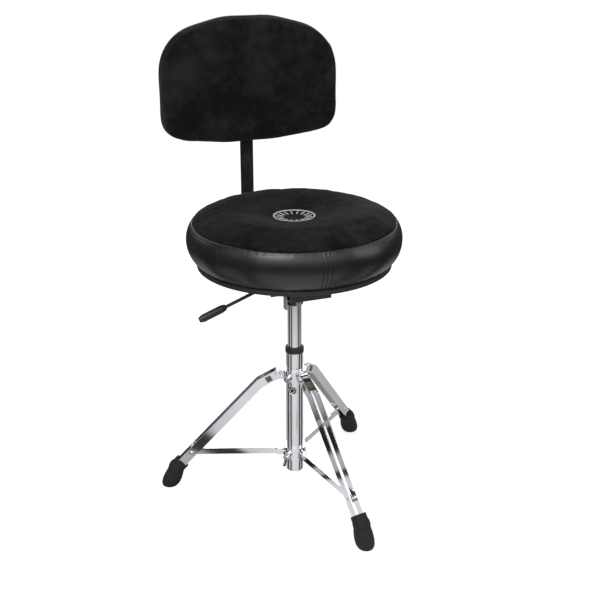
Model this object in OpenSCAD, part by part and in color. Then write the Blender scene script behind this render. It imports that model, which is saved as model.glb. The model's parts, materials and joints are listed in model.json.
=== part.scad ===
// Drum throne: gas-lift column on a folding double-braced tripod, round dished seat and a backrest
// that adjusts in depth and height. Millimetres, +Z up, the sitter faces -Y.

/* [Base tube] */
// Outside diameter of the base tube
tube_d = 32; // [28:0.5:38]
// Wall of the base tube
tube_wall = 2; // [1.6:0.1:2.4]
// Height of the base tube's lower end above the floor
tube_low = 34; // [30:1:44]
// Height of the base tube's upper end above the floor
tube_high = 278; // [268:1:340]
// Height of the bush flange that shows above the base tube
flange_h = 11; // [8:1:14]

/* [Legs] */
// Height of the leg pivots above the floor
pivot_h = 235; // [222:1:250]
// Wall of both collars around the base tube
collar_wall = 5; // [4:0.5:7]
// Slope of a leg below its knee, in degrees
leg_slope = 47.9; // [40:0.1:56]
// Slope of a leg above its knee, in degrees
knee_slope = 30; // [24:1:34]
// Distance from a leg's pivot to its knee
knee_len = 38.7; // [34:0.1:46]
// Width of a leg strip
strip_w = 17; // [14:0.5:19]
// Thickness of a leg strip
strip_t = 2.5; // [2:0.1:3]
// Gap between the two strips of a leg
strip_gap = 12; // [11:0.5:15]
// Turn of the first leg from +X about the column, in degrees
leg_turn = 159; // [150:1:170]
// Width of a strut
strut_w = 13; // [11:0.5:14]
// Thickness of a strut
strut_t = 3; // [2.5:0.1:3.5]
// Distance of a leg's stop block from its pivot
block_s = 19; // [18.5:0.1:21]
// Side of the square window that the stop block shows through
window = 11; // [9:0.5:12]
// Distance of a strut's rivet from the boot
rivet_gap = 29; // [29:0.5:40]
// Radius of the pivots, bolts and rivets of the stand
pin_r = 3; // [2.5:0.1:3.4]

/* [Boots] */
// Height of the bend inside a rubber boot
ankle_h = 38; // [36:1:46]
// Radius of a boot's sleeve
sleeve_r = 14.2; // [14:0.1:16]
// Radius of a boot's sole
sole_r = 17; // [15.5:0.5:21]
// Length of a boot's sleeve along the leg
sleeve = 16; // [16:1:20]

/* [Gas column] */
// Diameter of the gas cylinder
cyl_d = 25.4; // [22:0.1:26.6]
// Travel of the seat downwards from where it stands
lift_down = 80; // [60:1:84]
// Travel of the seat upwards from where it stands
lift_up = 70; // [60:1:80]
// Diameter of the piston rod
rod_d = 10; // [8:0.5:11]

/* [Seat mechanism] */
// Depth of the steel channel under the seat
mech_h = 63; // [58:1:75]
// Half of the channel's length
mech_half = 57; // [52:1:62]
// Half of the channel's width
mech_side = 34; // [30:1:38]
// Diameter of the lever rod
lever_d = 6; // [5:0.5:7]
// Distance of the lever's outer end from the column's axis
lever_reach = 177; // [160:1:210]
// Slope of the lever rod, in degrees
lever_slope = 20; // [16:0.5:24]
// Diameter of the lever's grip
grip_d = 14; // [12:0.5:18]

/* [Seat] */
// Radius of the seat
seat_r = 190; // [170:1:210]
// Height of the seat's padding, from the underside of its roll to the crown
roll_d = 104; // [88:1:112]
// Depth of the dish in the middle of the seat
dish = 19; // [8:1:26]
// Thickness of the seat board
board_t = 12; // [10:1:15]
// Thickness of the seat's covers
cover_t = 2; // [1.5:0.1:2.5]

/* [Backrest] */
// Width of the backrest's flat bar
bar_w = 24; // [20:1:30]
// Thickness of the backrest's flat bar
bar_t = 8; // [6:0.5:9]
// Distance of the upright bar behind the column's axis
bar_back = 248; // [225:1:265]
// Width of the backrest pad
pad_w = 334; // [300:1:400]
// Height of the backrest pad
pad_h = 226; // [200:1:270]
// Height of the pad's middle above the floor
pad_mid = 735; // [725:1:790]
// Radius of the pad's upper corners
pad_top_r = 84; // [60:1:90]
// Radius of the pad's lower corners
pad_low_r = 36; // [25:1:60]
// Rise of the pad's upper and lower edges towards the middle
pad_crown = 12; // [0:1:16]
// Thickness of the foam at the pad's middle
pad_foam = 22; // [18:1:40]
// Radius of the pad's hollow front face
pad_curve = 1100; // [700:10:1500]
// Travel of the backrest up and down from where it stands
back_travel = 50; // [30:1:55]

/* [Hidden] */
$fn = 48;
SLIP = 0.2;      // gap of a bar in its sleeve
RUN = 0.05;      // radial gap of a running fit
RIVET_SKIN = 0.3;  // gap between faces that pass each other

// Stand, seen in the plane of a leg as [distance from the axis, height]
tube_r = tube_d / 2;
collar_r = tube_r + collar_wall;
pivot = [collar_r + 10, pivot_h];
knee = pivot + knee_len * [cos(knee_slope), -sin(knee_slope)];
down = [cos(leg_slope), -sin(leg_slope)];
ankle_t = (knee[1] - ankle_h) / sin(leg_slope);
ankle = knee + ankle_t * down;
boot_t = ankle_t - sleeve;
rivet_t = boot_t - rivet_gap;
rivet = knee + rivet_t * down;
strut_in = [collar_r + 9, rivet[1] + 1];
strut_len = norm(rivet - strut_in);
strut_tilt = asin((rivet[1] - strut_in[1]) / strut_len);
boot_lean = 15;
leg_angles = [for (i = [0:2]) leg_turn + 120 * i];
front_angle = leg_turn + 58;
boss_w = strip_gap - 2 * RIVET_SKIN;
fork_w = strip_gap - 1.4;
ear_reach = 7;
neck_low = 11;
collar_low = 13;
clamp_low = pivot_h - 4;
block_l = window + 2;

// Gas column, from the floor up
bore_r = tube_r - tube_wall;
cyl_r = cyl_d / 2;
cyl_in = cyl_r - 2;
rod_r = rod_d / 2;
stub_r = rod_r - 1;
plate_z = tube_low + 6;
plate_h = 4;
race_h = 2;
ball_d = 4;
race_z = plate_z + plate_h;
bearing_top = race_z + 2 * race_h + ball_d;
buffer_h = 10;
bush_top = tube_high + flange_h;
sleeve_len = 50;
hub_z = bush_top + lift_down + 3;
cyl_z = bearing_top + buffer_h + lift_down + 2;
guide_h = 15;
piston_z = cyl_z + guide_h + lift_up + 25;
piston_h = 12;
taper_h = 38;
taper_top_r = cyl_r - 0.8;
cyl_top = hub_z + taper_h;
button_r = 3;
button_out = 8;
button_top = cyl_top + button_out;

// Mechanism and seat
hub_r = cyl_r + 2.8;
hub_out = 14;
web_z = hub_z + hub_out;
sheet = 3;
seat_z = web_z + mech_h;
pivot_x = -26;
open_x = hub_r + 5;
open_h = 18;
blade_t = 5;
lever_z = button_top + RIVET_SKIN + blade_t / 2;
grip_len = 52;
lever_len = (lever_reach + pivot_x) / cos(lever_slope);
flange_y = mech_side + 26;
bolt_x = mech_half - 12;
bolt_y = mech_side + 13;
guide_bolt_x = bar_w / 2 + 12;
guide_y = [flange_y + 4, flange_y + 84];
bolts = [for (x = [-1, 1], y = [-1, 1]) [x * bolt_x, y * bolt_y],
         for (x = [-1, 1], y = [guide_y[0] + 10, guide_y[1] - 10]) [x * guide_bolt_x, y]];
bolt_r = 3;
roll_r = roll_d / 2;
roll_c = seat_r - roll_r;
roll_z = seat_z + roll_r - 4;
trim_h = 8;
seam_angle = 37.5;
crown_z = roll_z + roll_r;
tuck_z = seat_z + trim_h;
board_r = roll_c + sqrt(pow(roll_r - cover_t, 2) - pow(roll_z - tuck_z, 2)) - 0.7;

// Backrest
bar_z = seat_z - sheet - SLIP - bar_t / 2;
bend_r = bar_t / 2 + 14;
knob_y = guide_y[1] - 20;
bar_in = guide_y[0] + 22;
clamp_h = 60;
clamp_z = pad_mid - clamp_h / 2 - 1;
bar_high = clamp_z + clamp_h + back_travel - 4;
plate_front = bar_back - bar_t / 2 - SLIP - sheet - sheet;
rear_t = 1.5;
pad_board_t = 10;
screw_in = 7;
board_back = plate_front - rear_t;
board_front = board_back - pad_board_t;
pad_front = board_front - pad_foam - cover_t;
knob_r = 16;
knob_h = 18;

// The origin is the middle of the box around the whole throne, on the floor.
sole_reach = ankle[0] + ankle_h * tan(boot_lean);
feet_x = [for (a = leg_angles) sole_reach * cos(a)];
feet_y = [for (a = leg_angles) sole_reach * sin(a)];
back_reach = bar_back + bar_t / 2 + SLIP + sheet + 10 + knob_h;
shift = -[min(feet_x) + max(feet_x), min(feet_y) - sole_r + back_reach, 0] / 2;

// ---- shared shapes ----

// Turns a piece drawn outwards along +X to an angle about the column.
module radial(angle) rotate([0, 0, angle]) children();

// A plate whose outline is drawn as [distance, height], standing from y to y + t.
module upright(y, t) translate([0, y + t, 0]) rotate([90, 0, 0]) linear_extrude(t) children();

// A flat bar between two points of an outline.
module strip_2d(a, b, w)
    translate(a) rotate(atan2(b[1] - a[1], b[0] - a[0])) translate([0, -w / 2]) square([norm(b - a), w]);

module disc_2d(p, r) translate(p) circle(r);

// Points of an arc about a centre.
function arc(c, r, from_angle, to_angle, n = 12) =
    [for (i = [0:n]) c + r * [cos(from_angle + i * (to_angle - from_angle) / n),
                              sin(from_angle + i * (to_angle - from_angle) / n)]];

// A cylinder across the plane of a leg, centred on it.
module cross(p, r, w) translate([p[0], 0, p[1]]) rotate([90, 0, 0]) cylinder(r = r, h = w, center = true);

module ring(r_in, r_out, z, h)
    translate([0, 0, z]) difference() {
        cylinder(r = r_out, h = h);
        translate([0, 0, -1]) cylinder(r = r_in, h = h + 2);
    }

// ---- stand ----

module base_tube() color("gainsboro")
    rotate_extrude($fn = 96) difference() {
        translate([bore_r, tube_low]) square([tube_wall, tube_high - tube_low]);
        // the lower end is rolled inwards on its outside
        difference() {
            translate([tube_r - 1.2, tube_low - 1]) square([2, 2.2]);
            translate([tube_r - 1.2, tube_low + 1.2]) circle(1.2);
        }
    }

module column_bush() color("dimgray") {
    difference() {
        union() {
            translate([0, 0, tube_high]) cylinder(r = tube_r + 1, h = flange_h - 2);
            translate([0, 0, bush_top - 2]) cylinder(r1 = tube_r + 1, r2 = tube_r - 0.5, h = 2);
            translate([0, 0, tube_high - sleeve_len]) cylinder(r = bore_r - RUN, h = sleeve_len + 1);
        }
        translate([0, 0, tube_high - sleeve_len - 1]) cylinder(r = cyl_r + RUN, h = sleeve_len + flange_h + 2);
    }
}

// The lug of one leg: a round eye on a neck that grows out of the collar.
module lug_2d(eye_r) {
    disc_2d(pivot, eye_r);
    translate([collar_r - 3, pivot[1] - neck_low]) square([pivot[0] - collar_r + 3, neck_low + eye_r - 1]);
}

module leg_collar() color("silver") {
    eye_r = strip_w / 2;
    difference() {
        union() {
            translate([0, 0, pivot_h - collar_low]) cylinder(r = collar_r, h = collar_low + 9);
            for (a = leg_angles) radial(a) upright(-boss_w / 2, boss_w) lug_2d(eye_r);
            radial(front_angle) translate([tube_r + 1, 0, clamp_low])
                rotate([0, 90, 0]) cylinder(r = 7, h = collar_wall + 4);
        }
        translate([0, 0, pivot_h - 30]) cylinder(r = tube_r, h = 60);
        for (a = leg_angles) radial(a) cross(pivot, pin_r, strip_gap + 10);
        radial(front_angle) translate([tube_r - 1, 0, clamp_low])
            rotate([0, 90, 0]) cylinder(r = pin_r, h = collar_wall + 12);
    }
}

// Hex bolt across a leg, head on one side and nut on the other.
module pivot_bolt() {
    grip = strip_gap + 2 * strip_t + 0.2;
    cross(pivot, pin_r, grip + 2);
    for (side = [-1, 1]) translate([pivot[0], side * (grip / 2 + 1.6), pivot[1]])
        rotate([90, 0, 0]) cylinder(r = pin_r + 2.2, h = 3.2, center = true, $fn = 6);
}

module leg_pivot_bolts() color("silver") for (a = leg_angles) radial(a) pivot_bolt();

module collar_set_screw() color("dimgray")
    radial(front_angle) translate([tube_r, 0, clamp_low]) rotate([0, 90, 0]) difference() {
        union() {
            cylinder(r = pin_r, h = collar_wall + 5);
            translate([0, 0, collar_wall + 5]) cylinder(r = pin_r + 2, h = 4);
        }
        translate([0, 0, collar_wall + 5.5]) cylinder(r = pin_r - 0.8, h = 6, $fn = 6);
    }

module tube_end_plate() color("silver") ring(stub_r + RUN, bore_r, plate_z, plate_h);

module bearing_lower_race() color("silver") ring(stub_r + RUN, bore_r - 2, race_z, race_h);

module bearing_upper_race() color("silver")
    ring(stub_r, bore_r - 2, race_z + race_h + ball_d, race_h);

module bearing_balls() color("silver")
    for (i = [0:7]) rotate([0, 0, 45 * i])
        translate([(stub_r + bore_r - 2) / 2, 0, race_z + race_h + ball_d / 2]) sphere(d = ball_d);

// ---- rod and piston, which turn with the seat but stay at their height ----

module piston_rod() color("lightgray") {
    translate([0, 0, tube_low + 2]) difference() {
        cylinder(r = stub_r, h = bearing_top - tube_low - 2);
        // groove for the clip
        translate([0, 0, plate_z - tube_low - 4]) ring(stub_r - 1, stub_r + 1, 0, 1.5);
    }
    translate([0, 0, bearing_top]) cylinder(r = rod_r, h = piston_z - bearing_top);
    translate([0, 0, piston_z]) cylinder(r = stub_r, h = piston_h);
}

module piston() color("dimgray") difference() {
    translate([0, 0, piston_z]) cylinder(r = cyl_in - 0.1, h = piston_h);
    translate([0, 0, piston_z - 1]) cylinder(r = stub_r, h = piston_h + 2);
    // groove for the sealing ring
    translate([0, 0, piston_z + 4]) ring(cyl_in - 1.6, cyl_in + 1, 0, 3);
}

module rod_clip() color("dimgray") translate([0, 0, plate_z - 2]) difference() {
    cylinder(r = stub_r + 3, h = 1.4);
    translate([0, 0, -1]) cylinder(r = stub_r - 1, h = 4);
    translate([0, -1.2, -1]) cube([stub_r + 5, 2.4, 4]);
}

module rubber_buffer() color("dimgray") difference() {
    translate([0, 0, bearing_top]) cylinder(r = cyl_in, h = buffer_h);
    translate([0, 0, bearing_top - 1]) cylinder(r = rod_r, h = buffer_h + 2);
}

// ---- cylinder and its hub ----

module cylinder_cone(grow = 0)
    translate([0, 0, hub_z]) cylinder(r1 = cyl_r + grow, r2 = taper_top_r + grow, h = taper_h);

module gas_cylinder() color("silver") difference() {
    union() {
        translate([0, 0, cyl_z]) cylinder(r = cyl_r, h = hub_z - cyl_z);
        cylinder_cone();
    }
    translate([0, 0, cyl_z - 1]) cylinder(r = cyl_in, h = cyl_top - cyl_z - 9);
    translate([0, 0, cyl_z]) cylinder(r = button_r + RUN, h = cyl_top - cyl_z + 5);
}

module rod_guide() color("dimgray") ring(rod_r + RUN, cyl_in, cyl_z, guide_h);

module release_button() color("silver")
    translate([0, 0, cyl_top - 9]) cylinder(r = button_r, h = button_out + 9);

module column_hub() color("dimgray") difference() {
    union() {
        translate([0, 0, hub_z]) cylinder(r = hub_r, h = taper_h - 2);
        translate([0, -hub_r - 1.5, hub_z + 7]) rotate([-90, 0, 0]) cylinder(r = 6.5, h = hub_r);
    }
    cylinder_cone();
    translate([0, -hub_r - 3, hub_z + 7]) rotate([-90, 0, 0]) cylinder(r = 2.5, h = 6);
}

module hub_screw() color("silver") translate([0, -hub_r - 1.5, hub_z + 7]) rotate([90, 0, 0]) difference() {
    union() {
        cylinder(r = 5, h = 4);
        translate([0, 0, -4.4]) cylinder(r = 2.5, h = 5);
    }
    translate([0, 0, 1.5]) cylinder(r = 2.4, h = 4, $fn = 6);
}

// ---- mechanism under the seat ----

module seat_channel() color("dimgray") difference() {
    union() {
        translate([-mech_half, -mech_side, web_z]) cube([2 * mech_half, 2 * mech_side, sheet]);
        for (s = [-1, 1]) {
            translate([-mech_half, s * (mech_side - sheet / 2) - sheet / 2, web_z])
                cube([2 * mech_half, sheet, mech_h]);
            translate([-mech_half, s * (mech_side + flange_y - sheet) / 2 - (flange_y - mech_side + sheet) / 2,
                seat_z - sheet]) cube([2 * mech_half, flange_y - mech_side + sheet, sheet]);
        }
    }
    // the end towards the lever is cut away below its side walls
    translate([-mech_half - 1, -mech_side - 1, web_z - 1]) cube([mech_half - open_x + 1, 2 * mech_side + 2, open_h]);
    translate([0, 0, web_z - 1]) cylinder(r = hub_r, h = sheet + 2);
    cross([pivot_x, lever_z], pin_r, 2 * mech_side + 4);
    for (b = [0:3]) translate([bolts[b][0], bolts[b][1], seat_z - sheet - 1]) cylinder(r = bolt_r, h = sheet + 2);
}

module mounting_bolts() color("silver") for (b = bolts) translate([b[0], b[1], 0]) {
    translate([0, 0, seat_z - sheet - 4]) cylinder(r = bolt_r + 2.4, h = 4, $fn = 6);
    translate([0, 0, seat_z - sheet]) cylinder(r = bolt_r, h = sheet + board_t - 0.5);
}

module tee_nuts() color("silver") for (b = bolts) translate([b[0], b[1], 0]) {
    ring(bolt_r, bolt_r + 1.5, seat_z + 2, board_t - 2);
    ring(bolt_r + 1.5, bolt_r + 6, seat_z + board_t - 1.5, 1.5);
}

module lever_pin() color("silver") cross([pivot_x, lever_z], pin_r, 2 * mech_side + 3);

// Zinc clip at the open end of the channel: a tail beside the hub, with a foot under the web.
module lever_clip() color("lightgray") {
    translate([-open_x - 3, -18, hub_z - 4]) cube([3, 12, hub_out + 16]);
    translate([-open_x - 1, -18, web_z - 2]) cube([7, 5, 2]);
}

module lever_rod() color("dimgray") {
    difference() {
        union() {
            cross([pivot_x, lever_z], 6, 18);
            translate([pivot_x, -5, lever_z - blade_t / 2]) cube([button_r + 5 - pivot_x, 10, blade_t]);
            translate([pivot_x, 0, lever_z]) rotate([0, -90 - lever_slope, 0])
                cylinder(d = lever_d, h = lever_len - 12);
        }
        cross([pivot_x, lever_z], pin_r + RUN, 30);
    }
}

// Moulded grip, fatter in the middle, pushed over the end of the rod.
module lever_grip() color("black")
    translate([pivot_x, 0, lever_z]) rotate([0, -90 - lever_slope, 0])
        translate([0, 0, lever_len - grip_len]) difference() {
            union() {
                cylinder(r1 = grip_d / 2 - 2, r2 = grip_d / 2, h = 8);
                translate([0, 0, 8]) cylinder(d = grip_d, h = grip_len - 16);
                translate([0, 0, grip_len - 8]) cylinder(r1 = grip_d / 2, r2 = grip_d / 2 - 2.5, h = 8);
            }
            translate([0, 0, -1]) cylinder(d = lever_d, h = grip_len - 11);
        }

// ---- seat ----

module seat_board() color("burlywood") difference() {
    translate([0, 0, seat_z]) cylinder(r = board_r, h = board_t, $fn = 96);
    for (b = bolts) translate([b[0], b[1], seat_z - 1]) {
        cylinder(r = bolt_r, h = 4);
        translate([0, 0, 3]) cylinder(r = bolt_r + 1.5, h = board_t);
        translate([0, 0, board_t - 0.5]) cylinder(r = bolt_r + 6, h = 3);
    }
}

module seat_trim() color("black")
    rotate_extrude($fn = 96) {
        translate([board_r, seat_z]) square([2, trim_h]);
        translate([board_r + 2, seat_z + 1]) square([1.5, trim_h - 2]);
    }

// Half section of the seat's padding, taken in by a depth.
module seat_section(depth) {
    steps = 10;
    top = crown_z - depth;
    translate([roll_c, roll_z]) circle(roll_r - depth, $fn = 96);
    polygon(concat([[0, tuck_z], [roll_c, tuck_z]],
        [for (i = [0:steps]) [roll_c * (1 - i / steps), top - dish * pow(sin(90 * i / steps), 2)]]));
}

module seat_foam() color("khaki") rotate_extrude($fn = 96) intersection() {
    seat_section(cover_t);
    translate([0, seat_z + board_t]) square([seat_r + 10, roll_d]);
}

// The skin between the padding and the outside, cut at the seam.
module seat_skin(from_angle, to_angle) intersection() {
    difference() {
        seat_section(0);
        seat_section(cover_t);
    }
    translate([roll_c, roll_z]) polygon([[0, 0],
        for (i = [0:6]) 3 * roll_r * [cos(from_angle + i * (to_angle - from_angle) / 6),
                                      sin(from_angle + i * (to_angle - from_angle) / 6)]]);
}

module seat_side_cover() color("black") rotate_extrude($fn = 96) intersection() {
    seat_skin(-80, seam_angle);
    translate([0, tuck_z]) square([seat_r + 10, roll_d]);
}

module seat_top_cover() color("black") rotate_extrude($fn = 96) {
    seat_skin(seam_angle, 90);
    difference() {
        intersection() {
            seat_section(0);
            translate([0, roll_z + 10]) square([roll_c, roll_d]);
        }
        seat_section(cover_t);
    }
}

// ---- backrest bar and its guide ----

module bar_guide() color("dimgray") {
    len = guide_y[1] - guide_y[0];
    inner = [bar_w + 2 * SLIP, len + 2, bar_t + 2 * SLIP];
    outer = [bar_w + 2 * SLIP + 2 * sheet, len, bar_t + 2 * SLIP + 2 * sheet];
    difference() {
        union() {
            translate([-outer[0] / 2, guide_y[0], seat_z - outer[2]]) cube(outer);
            translate([-guide_bolt_x - 8, guide_y[0], seat_z - sheet]) cube([2 * guide_bolt_x + 16, len, sheet]);
            translate([0, knob_y, seat_z - outer[2] - 8]) cylinder(r = 8, h = 9);
        }
        translate([-inner[0] / 2, guide_y[0] - 1, bar_z - inner[2] / 2]) cube(inner);
        translate([0, knob_y, seat_z - outer[2] - 9]) cylinder(r = bolt_r + RUN, h = outer[2]);
        for (b = [4:7]) translate([bolts[b][0], bolts[b][1], seat_z - sheet - 1])
            cylinder(r = bolt_r, h = sheet + 2);
    }
}

// Screw of a clamp knob, pointing up from z = 0 with its tip at that height.
module clamp_screw(len) translate([0, 0, -len]) cylinder(r = bolt_r, h = len);

// Three-lobed clamp knob, its face at z = 0 and its body below.
module clamp_knob(screw_depth) difference() {
    union() {
        translate([0, 0, -knob_h]) linear_extrude(knob_h - 4)
            polygon([for (a = [0:7.5:352.5]) (knob_r - 2.5 + 2.5 * cos(3 * a)) * [cos(a), sin(a)]]);
        translate([0, 0, -4.5]) cylinder(r = 8, h = 4.5);
    }
    translate([0, 0, -screw_depth]) cylinder(r = bolt_r, h = screw_depth + 1);
}

module at_depth_knob() translate([0, knob_y, seat_z - bar_t - 2 * SLIP - 2 * sheet - 10]) children();

module depth_screw() color("silver") at_depth_knob()
    translate([0, 0, 10 + sheet + SLIP - 0.1]) clamp_screw(21 + sheet);

module depth_knob() color("black") at_depth_knob() clamp_knob(11.1 - SLIP);

module back_bar() color("dimgray") {
    translate([-bar_w / 2, bar_in, bar_z - bar_t / 2]) cube([bar_w, bar_back - bend_r - bar_in, bar_t]);
    translate([-bar_w / 2, bar_back - bend_r, bar_z + bend_r]) rotate([0, 90, 0])
        rotate_extrude(angle = 90) translate([bend_r - bar_t / 2, 0]) square([bar_t, bar_w]);
    translate([-bar_w / 2, bar_back - bar_t / 2, bar_z + bend_r])
        cube([bar_w, bar_t, bar_high - bar_z - bend_r]);
}

// ---- backrest pad, which slides on the upright bar ----

module at_height_knob()
    translate([0, bar_back + bar_t / 2 + SLIP + sheet + 10, clamp_z + clamp_h / 2]) rotate([90, 0, 0]) children();

module back_clamp() color("dimgray") {
    inner = [bar_w + 2 * SLIP, bar_t + 2 * SLIP, clamp_h + 2];
    outer = inner + [2 * sheet, 2 * sheet, -2];
    difference() {
        union() {
            translate([-outer[0] / 2, bar_back - outer[1] / 2, clamp_z]) cube(outer);
            translate([-40, plate_front, clamp_z - 10]) cube([80, sheet, clamp_h + 20]);
            at_height_knob() translate([0, 0, 2]) cylinder(r = 8, h = 9);
        }
        translate([-inner[0] / 2, bar_back - inner[1] / 2, clamp_z - 1]) cube(inner);
        at_height_knob() cylinder(r = bolt_r + RUN, h = 10 + sheet + SLIP + 1);
        back_screw_places() translate([0, -1, 0]) rotate([-90, 0, 0]) cylinder(r = 2.5, h = sheet + 2);
    }
}

module height_screw() color("silver") at_height_knob()
    translate([0, 0, 10 + sheet + SLIP - 0.1]) clamp_screw(21 + sheet);

module height_knob() color("black") at_height_knob() clamp_knob(11.1 - SLIP);

// The four screws start on the clamp's plate and point forwards.
module back_screw_places()
    for (x = [-30, 30], z = [-30, 30]) translate([x, plate_front, clamp_z + clamp_h / 2 + z]) children();

module back_screws() color("silver") back_screw_places() {
    translate([0, sheet, 0]) rotate([-90, 0, 0]) cylinder(r1 = 5, r2 = 3.5, h = 2.5);
    translate([0, -rear_t - screw_in, 0]) rotate([-90, 0, 0]) cylinder(r = 2.5, h = sheet + rear_t + screw_in);
}

// Outline of the pad: wide round corners at the top, tighter ones below, and crowned edges.
module pad_2d(inset) {
    side = pad_w / 2 - inset;
    high = pad_h / 2 - inset;
    top_r = pad_top_r - inset;
    low_r = pad_low_r - inset;
    hull() for (s = [-1, 1]) {
        translate([s * (side - top_r), high - pad_crown - top_r]) circle(top_r);
        translate([s * 36, high - top_r]) circle(top_r);
        translate([s * (side - low_r), -high + pad_crown + low_r]) circle(low_r);
        translate([s * 50, -high + low_r]) circle(low_r);
    }
}

// A slab of the pad between its hollow front and a flat back.
module pad_slab(inset, front, back) intersection() {
    translate([0, back, pad_mid]) rotate([90, 0, 0]) linear_extrude(back - front + 60) pad_2d(inset);
    difference() {
        translate([-pad_w, front - 60, pad_mid - pad_h]) cube([2 * pad_w, back - front + 60, 2 * pad_h]);
        translate([0, front - pad_curve, pad_mid - pad_h - 1]) cylinder(r = pad_curve, h = 2 * pad_h + 2, $fn = 200);
    }
}

module screw_holes_in_back(from_y, to_y) for (x = [-30, 30], z = [-30, 30])
    translate([x, from_y, clamp_z + clamp_h / 2 + z]) rotate([-90, 0, 0]) cylinder(r = 2.5, h = to_y - from_y);

module back_board() color("burlywood") difference() {
    translate([0, board_back, pad_mid]) rotate([90, 0, 0]) linear_extrude(pad_board_t) pad_2d(cover_t);
    screw_holes_in_back(board_back - screw_in, board_back + 1);
}

module back_foam() color("khaki") pad_slab(cover_t, pad_front + cover_t, board_front);

module back_front_cover() color("black") difference() {
    pad_slab(0, pad_front, plate_front);
    pad_slab(cover_t, pad_front + cover_t, plate_front + 1);
}

module back_rear_cover() color("black") difference() {
    translate([0, plate_front, pad_mid]) rotate([90, 0, 0]) linear_extrude(rear_t) pad_2d(cover_t);
    screw_holes_in_back(board_back - 1, plate_front + 1);
}

// ---- folding tripod ----

module fork_2d() {
    root = [collar_r - 3, strut_in[1]];
    polygon(concat([root + [0, ear_reach], root - [0, ear_reach]], arc(strut_in, ear_reach, -90, 90)));
}

module lower_collar() color("silver") difference() {
    union() {
        translate([0, 0, strut_in[1] - 12]) cylinder(r = collar_r, h = 24);
        for (a = leg_angles) radial(a) upright(-fork_w / 2, fork_w) fork_2d();
        radial(front_angle) translate([tube_r + 1, 0, strut_in[1]])
            rotate([0, 90, 0]) cylinder(r = 7, h = collar_wall + 5);
    }
    translate([0, 0, strut_in[1] - 20]) cylinder(r = tube_r + 0.1, h = 40);
    for (a = leg_angles) radial(a) {
        cross(strut_in, pin_r, fork_w + 10);
        translate([collar_r - 0.5, -strut_t / 2 - SLIP, strut_in[1] - 30]) cube([40, strut_t + 2 * SLIP, 60]);
    }
    radial(front_angle) translate([tube_r - 1, 0, strut_in[1]])
        rotate([0, 90, 0]) cylinder(r = pin_r + RUN, h = collar_wall + 12);
}

module strut_pins() color("silver") for (a = leg_angles) radial(a) {
    cross(strut_in, pin_r, fork_w);
    for (s = [-1, 1]) translate([strut_in[0], s * (fork_w / 2 + 0.25), strut_in[1]])
        rotate([90, 0, 0]) cylinder(r = pin_r + 0.8, h = 0.5, center = true);
}

module wing_bolt() color("silver")
    radial(front_angle) translate([tube_r + 0.3, 0, strut_in[1]]) rotate([0, 90, 0]) {
        cylinder(r = pin_r, h = collar_wall + 8);
        translate([0, 0, collar_wall + 6.2]) cylinder(r1 = 6, r2 = 4.5, h = 8);
        for (s = [-1, 1]) translate([0, 1.5, collar_wall + 6.2]) rotate([90, 0, 0]) linear_extrude(3) {
            strip_2d([s * 3, 4], [s * 13, 10], 6);
            disc_2d([s * 13, 10], 4);
        }
    }

// Outline of a strip: a round end at the pivot, a bend at the knee and a square end in the boot.
module leg_2d() {
    half = strip_w / 2;
    mitre = half / cos((leg_slope - knee_slope) / 2);
    inner_angle = -90 - (leg_slope + knee_slope) / 2;
    polygon(concat(
        [ankle + half * [cos(-leg_slope - 90), sin(-leg_slope - 90)],
         knee + mitre * [cos(inner_angle), sin(inner_angle)]],
        arc(pivot, half, -knee_slope - 90, -knee_slope - 270),
        arc(knee, half, 90 - knee_slope, 90 - leg_slope, 4),
        [ankle + half * [cos(90 - leg_slope), sin(90 - leg_slope)]]));
}

module leg_strips(i) color("gainsboro") radial(leg_angles[i])
    for (y = [strip_gap / 2, -strip_gap / 2 - strip_t]) difference() {
        upright(y, strip_t) leg_2d();
        cross(pivot, pin_r + RUN, 60);
        for (t = rivet_places) cross(knee + t * down, pin_r, 60);
        at_block() cube([window, 60, window], center = true);
    }

// The upper rivet marks the strut's place and the lower one is inside the boot.
rivet_places = [rivet_t, ankle_t - 8];

module leg_rivets(i) color("silver") radial(leg_angles[i]) for (t = rivet_places, s = [-1, 1]) {
    translate([(knee + t * down)[0], s * (strip_gap / 2 + strip_t / 2), (knee + t * down)[1]])
        rotate([90, 0, 0]) cylinder(r = pin_r, h = strip_t, center = true);
    if (t == rivet_t) translate([(knee + t * down)[0], s * (strip_gap / 2 + strip_t + 0.6), (knee + t * down)[1]])
        rotate([s * 90, 0, 0]) cylinder(r1 = pin_r, r2 = pin_r + 1.5, h = 1.2, center = true);
}

module at_block() translate([pivot[0], 0, pivot[1]]) rotate([0, knee_slope, 0]) translate([block_s, 0, 0]) children();

// Dark stop block between the strips, which shows through a square window in each.
module leg_spacer(i) color("darkolivegreen") radial(leg_angles[i]) at_block() {
    cube([block_l, strip_gap, block_l], center = true);
    cube([window, strip_gap + 2 * strip_t + 0.6, window], center = true);
}

module leg_boot(i) color("black") radial(leg_angles[i]) difference() {
    union() {
        translate([ankle[0], 0, ankle[1]]) rotate([0, leg_slope - 90, 0]) cylinder(r = sleeve_r, h = sleeve);
        translate([ankle[0], 0, ankle[1]]) sphere(r = sleeve_r + 1.4);
        translate([ankle[0], 0, ankle[1]]) rotate([0, 180 - boot_lean, 0])
            cylinder(r1 = sleeve_r + 0.2, r2 = sole_r, h = ankle_h / cos(boot_lean) + 6);
    }
    translate([ankle[0] - 60, -60, -60]) cube([120, 120, 60]);
    for (y = [strip_gap / 2, -strip_gap / 2 - strip_t]) upright(y, strip_t) strip_2d(knee, ankle, strip_w);
}

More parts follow.
